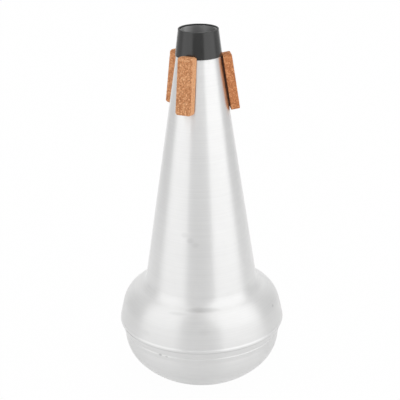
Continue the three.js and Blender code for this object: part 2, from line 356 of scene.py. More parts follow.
def bowl_outline():
    """Bowl: foot, bottom arc, flank, band and tongue. The bottom arc leaves the flank smoothly and
    meets the edge of the foot, so its radius is reach^2 / (2 reach . inward)."""
    band_top = side_point(side_angle(SEAM_HEIGHT)).real - BAND_SETBACK
    band_foot = band_top - BAND_TAPER
    crease_foot = complex(band_foot + CREASE_STEP, crease_height)
    flank_centre = complex(crease_foot.real - FLANK_TAPER - FLANK_RADIUS, EQUATOR_HEIGHT)
    flank_start = flank_centre + FLANK_RADIUS * np.exp(-1j * FLANK_END)
    inward = -np.exp(-1j * FLANK_END)
    reach = FOOT_RADIUS - flank_start
    bottom_radius = abs(reach) ** 2 / (2 * (reach * np.conj(inward)).real)
    bottom_centre = flank_start + bottom_radius * inward
    foot_angle = angle_of(FOOT_RADIUS - bottom_centre)
    tongue_foot = side_angle(SEAM_HEIGHT + TONGUE_START, tongue_arc)
    tongue_end = side_angle(tongue_top, tongue_arc)
    belly = joined(
        bow(bottom_centre, bottom_radius, foot_angle, -FLANK_END),
        bow(flank_centre, FLANK_RADIUS, -FLANK_END, -FLANK_EASE / FLANK_RADIUS),
        eased([flank_centre + FLANK_RADIUS * np.exp(-1j * FLANK_EASE / FLANK_RADIUS),
               flank_centre + FLANK_RADIUS, crease_foot], FLANK_EASE)[:-1],
    )
    belly = tooled(belly, *BOWL_TOOL)
    tongue = bow(side_centre, tongue_arc, tongue_foot, tongue_end)
    band = [
        crease_foot,
        complex(band_foot, SEAM_HEIGHT - BAND_HEIGHT),
        complex(band_top, SEAM_HEIGHT - BAND_TOP_DROP),
    ]
    foot = run(0, FOOT_RADIUS, COARSE)
    folds = eased([belly[-1], *band, tongue[0], tongue[1]], CREASE_EASE)
    outside = joined(foot, belly, folds, tongue[1:])
    inside = parallel(joined(foot, belly, band, tongue), SHEET)
    inside[0] = 1j * SHEET
    return joined(outside, inside[::-1])


def bond_outline():
    """The bond in the lap, between the tongue's arc and the shell's inner arc."""
    faces = []
    for radius in (SIDE_ARC_RADIUS - SHEET - FIT_GAP, tongue_arc + FIT_GAP):
        low, high = side_angle(bond_low.z, radius), side_angle(bond_high.z, radius)
        faces.append(bow(side_centre, radius, low, high))
    return joined(faces[0], faces[1][::-1])


def sleeve_outline():
    """Tapered sleeve: a bore that follows the cone past its cut end, and a rounded rim."""
    foot, rim = sleeve_low.z, sleeve_high.z
    bore_rim, bore_foot = cone_radius(rim, FIT_GAP), cone_radius(foot, FIT_GAP)
    shoulder = NECK_END - SLEEVE_STEP
    outer = complex(bore_rim + SLEEVE_RIM_WALL - SLEEVE_RIM_ROUND, rim - SLEEVE_RIM_ROUND)
    inner = complex(bore_rim + SLEEVE_RIM_ROUND, rim - SLEEVE_RIM_ROUND)
    outer_foot = complex(bore_foot + SLEEVE_FOOT_WALL, foot)
    inner_foot = complex(bore_foot, foot)
    outer_arc = bow(outer, SLEEVE_RIM_ROUND, 0, np.pi / 2, RIM_FINE)
    side = run(outer_foot, outer_arc[0])
    bore_start = inner_foot + 1j * SLEEVE_FOOT_EDGE
    foot_middle = (inner_foot + outer_foot) / 2
    foot_edge = eased([bore_start, inner_foot, foot_middle, outer_foot, side[1]], CUT_EASE)
    return joined(
        foot_edge,
        side[1:],
        outer_arc,
        bow(inner, SLEEVE_RIM_ROUND, np.pi / 2, np.pi, RIM_FINE),
        run(complex(cone_radius(shoulder, FIT_GAP), shoulder), bore_start, COARSE),
    )


# Strips. The front strip lies over the sleeve's foot, which is proud of the cone there, and the
# others lie close on their beds of glue. Each has its angle about Z from +X, the height of its top
# end above the sleeve's foot, the distance from the cone to its flat back, how pale its sawn side
# on
# +x is (partly the sawn cork's own paler tone, partly painted light), and how brown its cork is.
sleeve_lean = (cone_radius(sleeve_low.z) + SLEEVE_FOOT_WALL - cone_radius(sleeve_high.z)
               - SLEEVE_RIM_WALL) / (sleeve_high.z - sleeve_low.z)
sleeve_proud = SLEEVE_FOOT_WALL + CORK_OVERLAP * (math.tan(cone_lean) - sleeve_lean)
over_sleeve = (FIT_GAP + sleeve_proud) * math.cos(cone_lean) + CORK_BACK_GAP
STRIPS = {
    "front": {"angle": math.radians(246.7), "top": CORK_OVERLAP, "back": over_sleeve,
              "pale": 1.0, "brown": 0.0},
    "right": {"angle": math.radians(6.7), "top": -CORK_DROP, "back": RIGHT_BED,
              "pale": 0.0, "brown": 1.0},
    "rear": {"angle": math.radians(134), "top": -CORK_DROP, "back": REAR_BED,
             "pale": 0.1, "brown": 0.4},
}


def strip_foot(strip):
    """Height of a strip's foot, on the cone."""
    return sleeve_low.z + strip["top"] - CORK_LENGTH * math.cos(cone_lean)


def placed(points, strip):
    """Points of a strip's frame, moved to its place on the cone. In that frame x runs round the
    cone, y up along its slope and z out along its normal, from the cone at the strip's foot."""
    x, y, z = points[..., 0], points[..., 1], points[..., 2]
    foot = strip_foot(strip)
    out = cone_radius(foot) - y * math.sin(cone_lean) + z * math.cos(cone_lean)
    height = foot + y * math.cos(cone_lean) + z * math.sin(cone_lean)
    cos, sin = math.cos(strip["angle"]), math.sin(strip["angle"])
    return np.stack([out * cos - x * sin, out * sin + x * cos, height], -1)


def rounded_rectangle(width, length, corner, spacing):
    """The outline of a rectangle with round corners, as complex numbers x + iy that run
    anticlockwise from the foot, centred across."""
    half = width / 2
    right, left = half - corner, corner - half
    low, high = corner, length - corner
    quarter = np.pi / 2
    return joined(
        run(complex(0, 0), complex(right, 0), spacing),
        bow(complex(right, low), corner, -quarter, 0, spacing),
        run(complex(half, low), complex(half, high), spacing),
        bow(complex(right, high), corner, 0, quarter, spacing),
        run(complex(right, length), complex(left, length), spacing),
        bow(complex(left, high), corner, quarter, 2 * quarter, spacing),
        run(complex(-half, high), complex(-half, low), spacing),
        bow(complex(left, low), corner, 2 * quarter, 3 * quarter, spacing),
        run(complex(left, 0), complex(0, 0), spacing),
    )[:-1]


def slab(outline, width, length, low, high, back_edge, edge, spacing, wall_steps):
    """A slab over an outline, as a grid of points. Its section goes from the middle line across the
    back, round the back's edge, up the side, round the face's edge and back to the middle line: a
    point lies at a share of the way from the middle line to the outline, moved in by the edge's
    inset, at a height between the low and the high face."""
    middle = 1j * np.clip(outline.imag, width / 2, length - width / 2)
    reach = outline - middle
    size = np.abs(reach)
    thickness = high - low
    quarter = np.linspace(0, np.pi / 2, EDGE_STEPS + 1)
    steps = max(LEAST_FLAT_STEPS, round(width / 2 / spacing))
    flat = np.linspace(0, 1, steps, endpoint=False)
    wall = np.linspace(back_edge, thickness - edge, wall_steps + 1)[1:-1]
    inset = np.concatenate([np.full(len(flat), back_edge), back_edge * (1 - np.sin(quarter)),
                            0 * wall, edge * (1 - np.cos(quarter)), np.full(len(flat), edge)])
    share = np.concatenate([flat, np.ones(2 * len(quarter) + len(wall)), flat[::-1]])
    rise = np.concatenate([0 * flat, back_edge * (1 - np.cos(quarter)), wall,
                           thickness - edge * (1 - np.sin(quarter)), np.full(len(flat), thickness)])
    out = share[:, None] * np.maximum(size - inset[:, None], 0) / size
    plan = middle + reach * out
    return np.stack([plan.real, plan.imag, low + rise[:, None] + 0 * plan.real], -1)


def scattered(cells, seed):
    """Three even random numbers from 0 to 1 for each cell, which is three whole numbers: the
    fractional part of a large sine of a mix of them."""
    mix = cells @ SCATTER_MIX + seed
    parts = [np.sin(mix + shift) * SCATTER_WAVE for shift in SCATTER_SHIFTS]
    return np.stack([part - np.floor(part) for part in parts], -1)


def granules(points, size, seed):
    """Cork granules: each cell of a cubic lattice holds one random centre. Gives the distance to
    the nearest centre and how much nearer it is than the second, both in sizes."""
    scaled = points / size
    base = np.floor(scaled)
    nearest = np.full(points.shape[:-1], FAR)
    second = nearest.copy()
    for step in np.ndindex(3, 3, 3):
        cell = base + np.array(step) - 1
        distance = np.linalg.norm(cell + scattered(cell, seed) - scaled, axis=-1)
        second = np.where(distance < nearest, nearest, np.minimum(second, distance))
        nearest = np.minimum(nearest, distance)
    return nearest, second - nearest


def vertex_array(mesh, name, size=3):
    """One of the vertices' own arrays, as rows of the given size."""
    values = np.zeros(len(mesh.vertices) * size, np.float32)
    mesh.vertices.foreach_get(name, values)
    return values.reshape(-1, size)


def store(mesh, name, values):
    """Keeps one number for each vertex in a named attribute."""
    mesh.attributes.new(name, "FLOAT", "POINT").data.foreach_set("value", values.astype(np.float32))


def cork_strip(name, strip, seed):
    """A strip sawn from pressed cork. Its faces sink between the granules and where a granule has
    come out, and its edges are a little chipped. Each vertex keeps how near it is to its granule's
    edge, how deep it is in the place of a lost one, how pale its sawn side is (partly painted
    light) and how brown."""
    outline = rounded_rectangle(CORK_WIDTH, CORK_LENGTH, CORK_CORNER, CORK_SPACING)
    face = strip["back"] + CORK_THICKNESS
    grid = slab(outline, CORK_WIDTH, CORK_LENGTH, strip["back"], face, CORK_BACK_EDGE, CORK_EDGE,
                CORK_SPACING, round(CORK_THICKNESS / CORK_SPACING))
    cork = solid_object(name, grid, False, True)
    mesh = cork.data
    points = vertex_array(mesh, "co")
    normals = vertex_array(mesh, "normal")
    near, gap = granules(points, GRANULE, seed)
    lost = granules(points, LOST_GRANULE, seed + LOST_SEED)[0]
    chip = granules(points, CHIP_SIZE, seed + CHIP_SEED)[0]
    edge_distance = np.minimum(CORK_WIDTH / 2 - np.abs(points[:, 0]),
                               np.minimum(points[:, 2] - strip["back"], face - points[:, 2]))
    at_edge = np.clip(1 - edge_distance / CORK_EDGE / 2, 0, 1)
    at_edge = at_edge * (np.abs(normals).max(1) < FLAT_NORMAL)
    seam = np.clip(1 - gap / SEAM_WIDTH, 0, 1)
    pit = np.clip(1 - lost / LOST_WIDTH, 0, 1)
    chipped = np.clip(1 - chip / CHIP_WIDTH, 0, 1)
    pitted = SEAM_DEPTH * seam + pit + BULGE_DEPTH * near
    sunk = PIT_DEPTH * pitted + CHIP_DEPTH * at_edge * chipped
    sunk = np.where(np.abs(normals[:, 0]) > SAWN_NORMAL, sunk * SAWN_RELIEF, sunk)
    points = points - normals * sunk[:, None]
    mesh.vertices.foreach_set("co", placed(points, strip).astype(np.float32).ravel())
    store(mesh, "granule_seam", seam)
    store(mesh, "lost_granule", pit)
    # partly painted light: the +x side made paler, by each strip's own share
    pale = np.clip((normals[:, 0] - PALE_FROM) / PALE_WITHIN, 0, 1)
    store(mesh, "sawn_side", strip["pale"] * pale)
    store(mesh, "brown_cork", np.full(len(points), strip["brown"]))
    mesh.update()
    return cork


def glue_pad(name, strip, seed):
    """Dried glue between a strip's flat back and the round cone. The cone falls away from the
    strip by x^2 cos(lean) / 2r, and the pad's outline wanders by a few sines."""
    free_end = max(strip["top"], 0) / math.cos(cone_lean)
    length = CORK_LENGTH - free_end - GLUE_TOP_GAP - GLUE_END_GAP
    outline = rounded_rectangle(GLUE_WIDTH, length, GLUE_CORNER, GLUE_SPACING)
    middle = 1j * np.clip(outline.imag, GLUE_WIDTH / 2, length - GLUE_WIDTH / 2)
    turn = np.linspace(0, 2 * np.pi, len(outline), endpoint=False)
    wander = sum(np.sin(k * turn + seed * k) / k ** 0.5 for k in GLUE_WAVES) / len(GLUE_WAVES)
    outline = middle + (outline - middle) * (1 - GLUE_WANDER * (1 - wander) / GLUE_WIDTH)
    grid = slab(outline, GLUE_WIDTH, length, 0, 1, 0, 0, GLUE_SPACING, GLUE_WALL_STEPS)
    x, y = grid[..., 0], grid[..., 1] + GLUE_END_GAP
    radius = cone_radius(strip_foot(strip) + y * math.cos(cone_lean))
    cone = FIT_GAP / 2 - x ** 2 * math.cos(cone_lean) / (2 * radius)
    back = strip["back"] - FIT_GAP / 2
    height = cone + (back - cone) * grid[..., 2]
    grid = placed(np.stack([x, y, height], -1), strip)
    return solid_object(name, grid, False, True)


class Wire:
    """A node's output socket, on which + - * / and ** add Math nodes."""

    def __init__(self, finish, socket):
        self.finish = finish
        self.socket = socket

    def maths(self, operation, first, second):
        return self.finish.node("ShaderNodeMath", {"operation": operation}, {0: first, 1: second})

    def __add__(self, other):
        return self.maths("ADD", self, other)

    def __sub__(self, other):
        return self.maths("SUBTRACT", self, other)

    def __rsub__(self, other):
        return self.maths("SUBTRACT", other, self)

    def __mul__(self, other):
        return self.maths("MULTIPLY", self, other)

    def __truediv__(self, other):
        return self.maths("DIVIDE", self, other)

    def __pow__(self, other):
        return self.maths("POWER", self, other)

    __radd__ = __add__
    __rmul__ = __mul__


class Finish:
    """A node tree, of a material or of the world, and what adds nodes to it."""

    def __init__(self, owner):
        owner.use_nodes = True
        self.owner = owner
        self.tree = owner.node_tree
        self.tree.nodes.clear()

    def node(self, kind, settings=None, inputs=None, output=0):
        """Adds a node: its settings first, with a ramp's stops under "stops", then its sockets."""
        made = self.tree.nodes.new(kind)
        for name, value in (settings or {}).items():
            if name == "stops":
                self.set_stops(made.color_ramp.elements, value)
            else:
                setattr(made, name, value)
        for name, value in (inputs or {}).items():
            if isinstance(value, Wire):
                self.tree.links.new(value.socket, made.inputs[name])
            else:
                made.inputs[name].default_value = value
        return Wire(self, made.outputs[output]) if len(made.outputs) else None

    @staticmethod
    def set_stops(elements, stops):
        """Sets a ramp's stops, given as (place, grey or colour)."""
        for _ in range(len(stops) - len(elements)):
            elements.new(1)
        for element, (place, tone) in zip(elements, stops):
            element.position = place
            colour = (tone, tone, tone) if isinstance(tone, (int, float)) else tone
            element.color = (*colour, 1)

    def here(self):
        """The place on the object, in metres."""
        return self.node("ShaderNodeTexCoord", output="Object")

    def axis(self, vector, axis):
        """A vector's measure along one axis."""
        return self.node("ShaderNodeSeparateXYZ", {}, {0: vector}, output=axis)

    def attribute(self, name):
        """What a mesh stores for its vertices under a name."""
        return self.node("ShaderNodeAttribute", {"attribute_name": name}, output="Fac")

    def noise(self, vector, scale, detail, roughness, warp=0):
        inputs = {"Vector": vector, "Scale": scale, "Detail": detail, "Roughness": roughness,
                  "Distortion": warp}
        return self.node("ShaderNodeTexNoise", {}, inputs)

    def vector(self, operation, *vectors, output=0):
        """Vector maths on wires and plain vectors."""
        inputs = dict(enumerate(vectors))
        return self.node("ShaderNodeVectorMath", {"operation": operation}, inputs, output)

    def cells(self, vector, scale, output="Color", **settings):
        """Voronoi cells: their random colour, the distance to the centre or to the nearest edge."""
        inputs = {"Vector": vector, "Scale": scale}
        return self.node("ShaderNodeTexVoronoi", settings, inputs, output)

    def ramp(self, value, stops, interpolation="LINEAR"):
        """The grey or colour that a value has between the stops."""
        made = self.node("ShaderNodeValToRGB", {"stops": stops}, {"Fac": value})
        made.socket.node.color_ramp.interpolation = interpolation
        return made

    def fade(self, value, start=0.0, stop=1.0):
        """0 where the value is up to the start, 1 from the stop on."""
        return self.ramp(value, [(start, 0.0), (stop, 1.0)])

    def mix(self, share, first, second, blend="MIX"):
        """Colour: first where the share is 0, second where it is 1. The node's colour sockets are
        6, 7 and 2."""
        return self.node("ShaderNodeMix", {"data_type": "RGBA", "blend_type": blend},
                         {0: share, 6: first, 7: second}, output=2)

    def bump(self, height, distance, strength, normal=None):
        inputs = {"Height": height, "Distance": distance, "Strength": strength}
        if normal:
            inputs["Normal"] = normal
        return self.node("ShaderNodeBump", {}, inputs)

    def surface(self, **sockets):
        """Ends the tree in a Principled shader, with underscores for the spaces in socket names."""
        inputs = {name.replace("_", " "): value for name, value in sockets.items()}
        shader = self.node("ShaderNodeBsdfPrincipled", {}, inputs, output="BSDF")
        self.node("ShaderNodeOutputMaterial", {}, {"Surface": shader})
        return self.owner


def grey(value, warmth=0.0):
    """A grey colour, a little warmer or cooler."""
    return (value * (1 + warmth), value, value * (1 - warmth), 1)


# In the finishes a grain is a noise's cells to the metre, its detail and its roughness, and a bump
# is its height in metres and its strength. Places on a ramp go from 0 to 1.

# Spun metal's finish
SHELL_TONE = (0.885, 0.885, 0.881)
BOWL_TONE = (0.872, 0.872, 0.868)
METAL_ROUGHNESS = 0.4
METAL_STRETCH = 0.9
ACROSS_RINGS = 0.25           # of a turn, by which the stretch lies across the rings
AXIS_GUARD = 0.001            # keeps shares of the radius finite on the axis
RING_DRIFT = 0.0004           # of a ring's noise with the turn
LINE_GRAIN = (1500, 3, 0.6)
PASS_GRAIN = (330, 2, 0.5)
BAND_GRAIN = (95, 2, 0.5)
CLOUD_GRAIN = (28, 3, 0.55)
HAZE_GRAIN = (90, 4, 0.6)
LINE_BUMP = (0.000004, 0.35)
PASS_BUMP = (0.00002, 0.5)
LINE_TONE, PASS_TONE, BAND_TONE, CLOUD_TONE = 0.45, 0.25, 0.15, 0.15   # weights in the tone
LINE_SATIN, PASS_SATIN, HAZE_SATIN = 0.12, 0.08, 0.08                  # and in the roughness
DARK_PLACE, PALE_PLACE = 0.34, 0.66   # of the grain, where the tone is darkest and where full
DARKEST = 0.93                # shares of the tone: in the darkest grain,
# painted light: LOW_TONE and HIGH_TONE make the metal lighter up the mute
LOW_TONE = 0.97               # at the seam,
HIGH_TONE = 1.04              # and from the shoulder's top up,
HIGH_START = 0.6              # which begins at this share of the way up from the seam
BEAD_HIGHLIGHT_RISE = 0.0021          # of the bead's painted highlight line above the lip's edge
HIGHLIGHT_REACH = 0.0008
HIGHLIGHT_SHARE = 0.8
CREASE_HIGHLIGHT = 0.5           # of the crease's painted highlight line, as a share of the bead's
HIGHLIGHT_GREY = 0.95               # grey of the painted highlight lines
# Painted shade in the gap under the lip, broken up by a cloud and strongest at the seam's left end
SEAM_SHADE_REACH = 0.0009
SEAM_SHADE_SHARE, SEAM_SHADE_CLOUD, SEAM_SHADE_AT_LEFT = 0.4, 0.8, 0.6
SEAM_SHADE_GREY, LEFT_SEAM_SHADE_GREY = 0.62, 0.22        # greys of the painted shade in the gap under the lip
LEFT_END = (0.74, 0.84)       # where the seam's left end begins and is full, in radii to the left
MARK_AND_REFLECTION_GREY = 0.3                    # grey of the marks and of the painted reflection
MARK_PLACE = 0.6              # of the way in, where a mark is at its darkest
BORE_EDGE = SHEET / 10        # inside the cone, where the bore begins
BORE_BLUR = SHEET / 8
BORE_SHARE = 0.9
BORE_DULL = 0.2               # how much rougher the bore is
BORE_BARE = 0.6               # how much less metallic the bore is
# painted light and shade inside the tube: greys placed across the bore from left to right, lighter
# in two bands
BORE_LIGHT_AND_SHADE = ((0.03, 0.3), (0.16, 0.62), (0.38, 0.24), (0.5, 0.24), (0.66, 0.4), (0.85, 0.2))
CUT_END_GREY = 0.06              # grey of the neck's darkened cut end
UNDARKENED_PLACE = (0.7, 0.85)      # where the neck end's undarkened place begins and is full, in radii
UNDARKENED_SHARE = 0.9

# Small marks on the metal, in metres: the middle of each, how far it reaches along each axis, and
# how dark it is. The shell's first two rows are no marks but a painted reflection: the dark band
# across the fillet's front.
SHELL_MARKS_AND_REFLECTION = (
    # painted reflection: the dark band across the fillet's front, in these two rows
    ((0.0005, -0.0427, 0.0664), (0.0125, 0.004, 0.0017), 0.25),
    ((-0.0158, -0.0435, 0.0645), (0.0095, 0.004, 0.001), 0.14),
    ((0.0014, -0.0532, 0.0556), (0.005, 0.004, 0.0026), 0.06),
    ((-0.0373, -0.0403, 0.0489), (0.006, 0.005, 0.0024), 0.08),
    ((0.0481, -0.0204, 0.0578), (0.0014, 0.0018, 0.0012), 0.25),
    ((-0.0105, -0.0294, 0.1145), (0.0032, 0.002, 0.0026), 0.09),
    ((-0.007, -0.031, 0.1112), (0.0032, 0.002, 0.0026), 0.12),
    ((-0.0035, -0.032, 0.1085), (0.0034, 0.002, 0.0022), 0.09),
)
BOWL_MARKS = (
    ((-0.0278, -0.0463, 0.0357), (0.0017, 0.0016, 0.0009), 0.5),
    ((-0.0236, -0.0484, 0.0354), (0.0014, 0.0014, 0.0008), 0.35),
)

# Black sleeve's finish
PEEL_GRAIN = (1500, 3, 0.5)
BLOOM_GRAIN = (160, 4, 0.6)
PEEL_BUMP = (0.00001, 0.5)
SLEEVE_BLACK, BLOOM = grey(0.004), grey(0.014, 0.02)
BLOOM_SHARE, BLOOM_WORN = 0.5, 0.8    # of the bloom in the tone, and how much less at the rim
SLEEVE_ROUGHNESS, BLOOM_SATIN, RIM_SATIN = 0.2, 0.1, 0.35
SLEEVE_GLOSS = 0.9
RIM_EDGE = 0.0012             # depth of the rim's edge
RIM_DULL = (0.55, 0.95)       # where on it the dullness begins and is full

# Cork's finish
CRUMB_CELLS = 1150
SPECK_GRAIN = (2600, 4, 0.6)
PATCH_GRAIN = (500, 2, 0.5)
SPECK_BUMP = (0.00008, 0.5)
CRUMB_BUMP = (0.0001, 0.6)
CRUMB_TONE, SPECK_TONE, PATCH_TONE, CORK_SHIFT = 0.62, 0.4, 0.25, 0.1
CORK_BROWNS = (               # stops of a ramp
    (0.08, (0.21, 0.074, 0.025)),
    (0.26, (0.53, 0.222, 0.091)),
    (0.6, (0.72, 0.34, 0.153)),
    (0.85, (0.89, 0.49, 0.25)),
    (0.97, (0.94, 0.64, 0.4)),
)
CRUMB_LINE = 0.14             # width of the dark line between crumbs, in cells
CRUMB_DARK, SEAM_DARK, LOST_DARK = 0.45, 0.2, 0.5
DARK_CORK = (0.2, 0.06, 0.02, 1)
SAWN_AND_LIT_CORK = (0.88, 0.465, 0.235, 1)
SAWN_SHARE, SAWN_CLEAN = 0.55, 0.5    # of the sawn tone, and how much less dark its lines are
BROWNER = (0.97, 0.81, 0.71, 1)
CORK_ROUGHNESS, SPECK_SATIN = 0.86, 0.12
CORK_GLOSS = 0.3

# Glue's and epoxy's finish
WISP_GRAIN = (900, 4, 0.6, 0.5)
WISP_BUMP = (0.0001, 0.6)
GLUE_DARK, GLUE_PALE = (0.035, 0.012, 0.006, 1), (0.14, 0.055, 0.028, 1)
GLUE_ROUGHNESS, WISP_SATIN = 0.5, 0.25
EPOXY_GRAIN = (260, 4, 0.6)
EPOXY_BUMP = (0.0001, 0.4)
EPOXY_DARK, EPOXY_PALE = (0.4, 0.34, 0.24, 1), (0.56, 0.5, 0.38, 1)
EPOXY_ROUGHNESS, EPOXY_SATIN = 0.4, 0.25


def spun_aluminium(name, tone, dark_spots, bore):
    """Satin aluminium with the fine rings that the spinner's tool and the abrasive leave. A ring is
    what stays the same round the axis: noise on the distance from the axis and the height, which
    drifts slowly with the turn. The satin is stretched across the rings. The tone grows lighter up
    the mute, painted light. Pale lines on the bead and on the crease at the seam are painted
    highlights, and the gap under the lip is darkened with painted shade, most at the left. A mark
    darkens by 1 less the distance from its middle, in its own reaches; the shell's first two are a
    painted dark reflection across the fillet's front. The bore, inside the cone, is left dull and
    streaked along its length with painted light and shade, and the neck's cut end is made dark grey
    but for a place at the right."""
    finish = Finish(bpy.data.materials.new(name))
    here = finish.here()
    x, y, z = (finish.axis(here, axis) for axis in "XYZ")
    radius = (x * x + y * y) ** 0.5
    turn_x, turn_y = (share / (radius + AXIS_GUARD) for share in (x, y))
    ring = finish.node("ShaderNodeCombineXYZ", {}, {
        "X": radius + turn_x * RING_DRIFT,
        "Y": turn_y * RING_DRIFT,
        "Z": z,
    })
    lines = finish.noise(ring, *LINE_GRAIN)
    passes = finish.noise(ring, *PASS_GRAIN)
    bands = finish.noise(ring, *BAND_GRAIN)
    cloud = finish.noise(here, *CLOUD_GRAIN)
    haze = finish.noise(here, *HAZE_GRAIN)

    def line(height, reach):
        """A soft line round the axis, 1 at a height and 0 at its reach above and below."""
        stops = [(0.0, 0.0), (0.5, 1.0), (1.0, 0.0)]
        return finish.ramp((z - height) / (2 * reach) + 0.5, stops, "EASE")

    grain = lines * LINE_TONE + passes * PASS_TONE + bands * BAND_TONE + cloud * CLOUD_TONE
    dark_tone = tuple(part * DARKEST for part in tone)
    shade = finish.ramp(grain, [(DARK_PLACE, dark_tone), (PALE_PLACE, tone)])
    up_bulb = (z - SEAM_HEIGHT) / (shoulder_top - SEAM_HEIGHT)
    # painted light: the tone made lighter up the mute, from the seam to past the shoulder's top
    lighter_upward = finish.ramp(up_bulb / 2, [(0.0, LOW_TONE), (1.0, 1.0)])
    shade = finish.mix(1.0, shade, lighter_upward, "MULTIPLY")
    shade = finish.mix(finish.fade(up_bulb, HIGH_START), shade, grey(HIGH_TONE), "MULTIPLY")
    # painted highlights: pale lines on the bead and on the crease at the seam
    bead_line = line(SEAM_HEIGHT + BEAD_HIGHLIGHT_RISE, HIGHLIGHT_REACH)
    painted_highlight = bead_line + line(crease_height, HIGHLIGHT_REACH) * CREASE_HIGHLIGHT
    shade = finish.mix(painted_highlight * HIGHLIGHT_SHARE, shade, grey(HIGHLIGHT_GREY))
    # painted shade: the gap under the lip darkened, most at the left
    left_end = finish.fade(0 - turn_x, *LEFT_END)
    painted_seam_shade = SEAM_SHADE_SHARE + cloud * SEAM_SHADE_CLOUD + left_end * SEAM_SHADE_AT_LEFT
    painted_seam_shade = line(SEAM_HEIGHT, SEAM_SHADE_REACH) * painted_seam_shade
    shade = finish.mix(painted_seam_shade, shade, finish.mix(left_end, grey(SEAM_SHADE_GREY), grey(LEFT_SEAM_SHADE_GREY)))
    # marks, and on the shell a painted dark reflection across the fillet's front
    for place, reach, depth in dark_spots:
        offset = finish.vector("DIVIDE", finish.vector("SUBTRACT", here, place), reach)
        spot = 1 - finish.vector("LENGTH", offset, output="Value")
        dark = finish.ramp(spot, [(0.0, 0.0), (MARK_PLACE, depth)])
        shade = finish.mix(dark, shade, grey(MARK_AND_REFLECTION_GREY))
    rough = METAL_ROUGHNESS
    for noise, share in ((lines, LINE_SATIN), (haze, HAZE_SATIN), (passes, PASS_SATIN)):
        rough = rough + (noise - 0.5) * share
    metal = 1.0
    if bore:
        bore_radius = NECK_RADIUS - BORE_EDGE + (NECK_END - z) * math.tan(cone_lean)
        inside = finish.fade((bore_radius - radius) / BORE_BLUR + 0.5)
        # painted light and shade: the bore's greys, lighter in two bands across it
        bore_light_and_shade = finish.ramp(turn_x * 0.5 + 0.5, BORE_LIGHT_AND_SHADE)
        shade = finish.mix(inside * BORE_SHARE, shade, bore_light_and_shade)
        # the neck's cut end made dark grey, but for a place at the right
        undarkened = finish.fade(turn_x, *UNDARKENED_PLACE)
        end = finish.fade((z - NECK_END) / CUT_EASE / 2 + 1) * (1 - undarkened * UNDARKENED_SHARE)
        shade = finish.mix(end, shade, grey(CUT_END_GREY))
        rough = rough + inside * BORE_DULL
        metal = 1 - inside * BORE_BARE
    normal = finish.bump(passes, *PASS_BUMP, finish.bump(lines, *LINE_BUMP))
    return finish.surface(Base_Color=shade, Metallic=metal, Roughness=rough, Normal=normal,
                          Anisotropic=METAL_STRETCH, Anisotropic_Rotation=ACROSS_RINGS)


def black_sleeve(name):
    """Soft black plastic with a slight orange peel and a dusty bloom, duller on the rim's edge."""
    finish = Finish(bpy.data.materials.new(name))
    here = finish.here()
    height = finish.axis(here, "Z")
    peel = finish.noise(here, *PEEL_GRAIN)
    bloom = finish.noise(here, *BLOOM_GRAIN)
    rim = finish.fade((height - (sleeve_high.z - RIM_EDGE)) / RIM_EDGE, *RIM_DULL)
    shade = finish.mix(bloom * BLOOM_SHARE * (1 - rim * BLOOM_WORN), SLEEVE_BLACK, BLOOM)
    rough = SLEEVE_ROUGHNESS + (bloom - 0.5) * BLOOM_SATIN + rim * RIM_SATIN
    return finish.surface(Base_Color=shade, Roughness=rough, Specular_IOR_Level=SLEEVE_GLOSS,
                          Normal=finish.bump(peel, *PEEL_BUMP))


def pressed_cork(name):
    """Pressed cork: granules of many browns, dark where they meet and where one has come out, with
    finer crumbs between them, and a paler, smoother sawn side, its paleness partly painted light."""
    finish = Finish(bpy.data.materials.new(name))
    here = finish.here()
    seam = finish.attribute("granule_seam")
    lost = finish.attribute("lost_granule")
    sawn = finish.attribute("sawn_side")
    speck = finish.noise(here, *SPECK_GRAIN)
    patch = finish.noise(here, *PATCH_GRAIN)
    crumb = finish.cells(here, CRUMB_CELLS)
    crumb = finish.node("ShaderNodeSeparateColor", {}, {0: crumb}, output="Red")
    edge = finish.cells(here, CRUMB_CELLS, "Distance", feature="DISTANCE_TO_EDGE")
    tone = crumb * CRUMB_TONE + speck * SPECK_TONE + patch * PATCH_TONE - CORK_SHIFT
    # the pale sawn tone: partly the sawn cork's own, partly painted light on the side that faces
    # the camera
    shade = finish.mix(sawn * SAWN_SHARE, finish.ramp(tone, CORK_BROWNS), SAWN_AND_LIT_CORK)
    shade = finish.mix(finish.attribute("brown_cork"), shade, BROWNER, "MULTIPLY")
    meet = finish.ramp(edge, [(0.0, 1.0), (CRUMB_LINE, 0.0)])
    dark = meet * CRUMB_DARK + seam * SEAM_DARK + lost * LOST_DARK
    shade = finish.mix(dark * (1 - sawn * SAWN_CLEAN), shade, DARK_CORK)
    rough = CORK_ROUGHNESS - speck * SPECK_SATIN
    normal = finish.bump(speck, *SPECK_BUMP, finish.bump(edge, *CRUMB_BUMP))
    return finish.surface(Base_Color=shade, Roughness=rough, Normal=normal,
                          Specular_IOR_Level=CORK_GLOSS)


def dried_glue(name):
    """Dark brown contact glue, a little glossy, with wisps and dust."""
    finish = Finish(bpy.data.materials.new(name))
    wisp = finish.noise(finish.here(), *WISP_GRAIN)
    return finish.surface(Base_Color=finish.mix(wisp, GLUE_DARK, GLUE_PALE),
                          Roughness=GLUE_ROUGHNESS + wisp * WISP_SATIN,
                          Normal=finish.bump(wisp, *WISP_BUMP))


def set_epoxy(name):
    """Set epoxy, cloudy and straw grey."""
    finish = Finish(bpy.data.materials.new(name))
    cloud = finish.noise(finish.here(), *EPOXY_GRAIN)
    return finish.surface(Base_Color=finish.mix(cloud, EPOXY_DARK, EPOXY_PALE),
                          Roughness=EPOXY_ROUGHNESS + cloud * EPOXY_SATIN,
                          Normal=finish.bump(cloud, *EPOXY_BUMP))


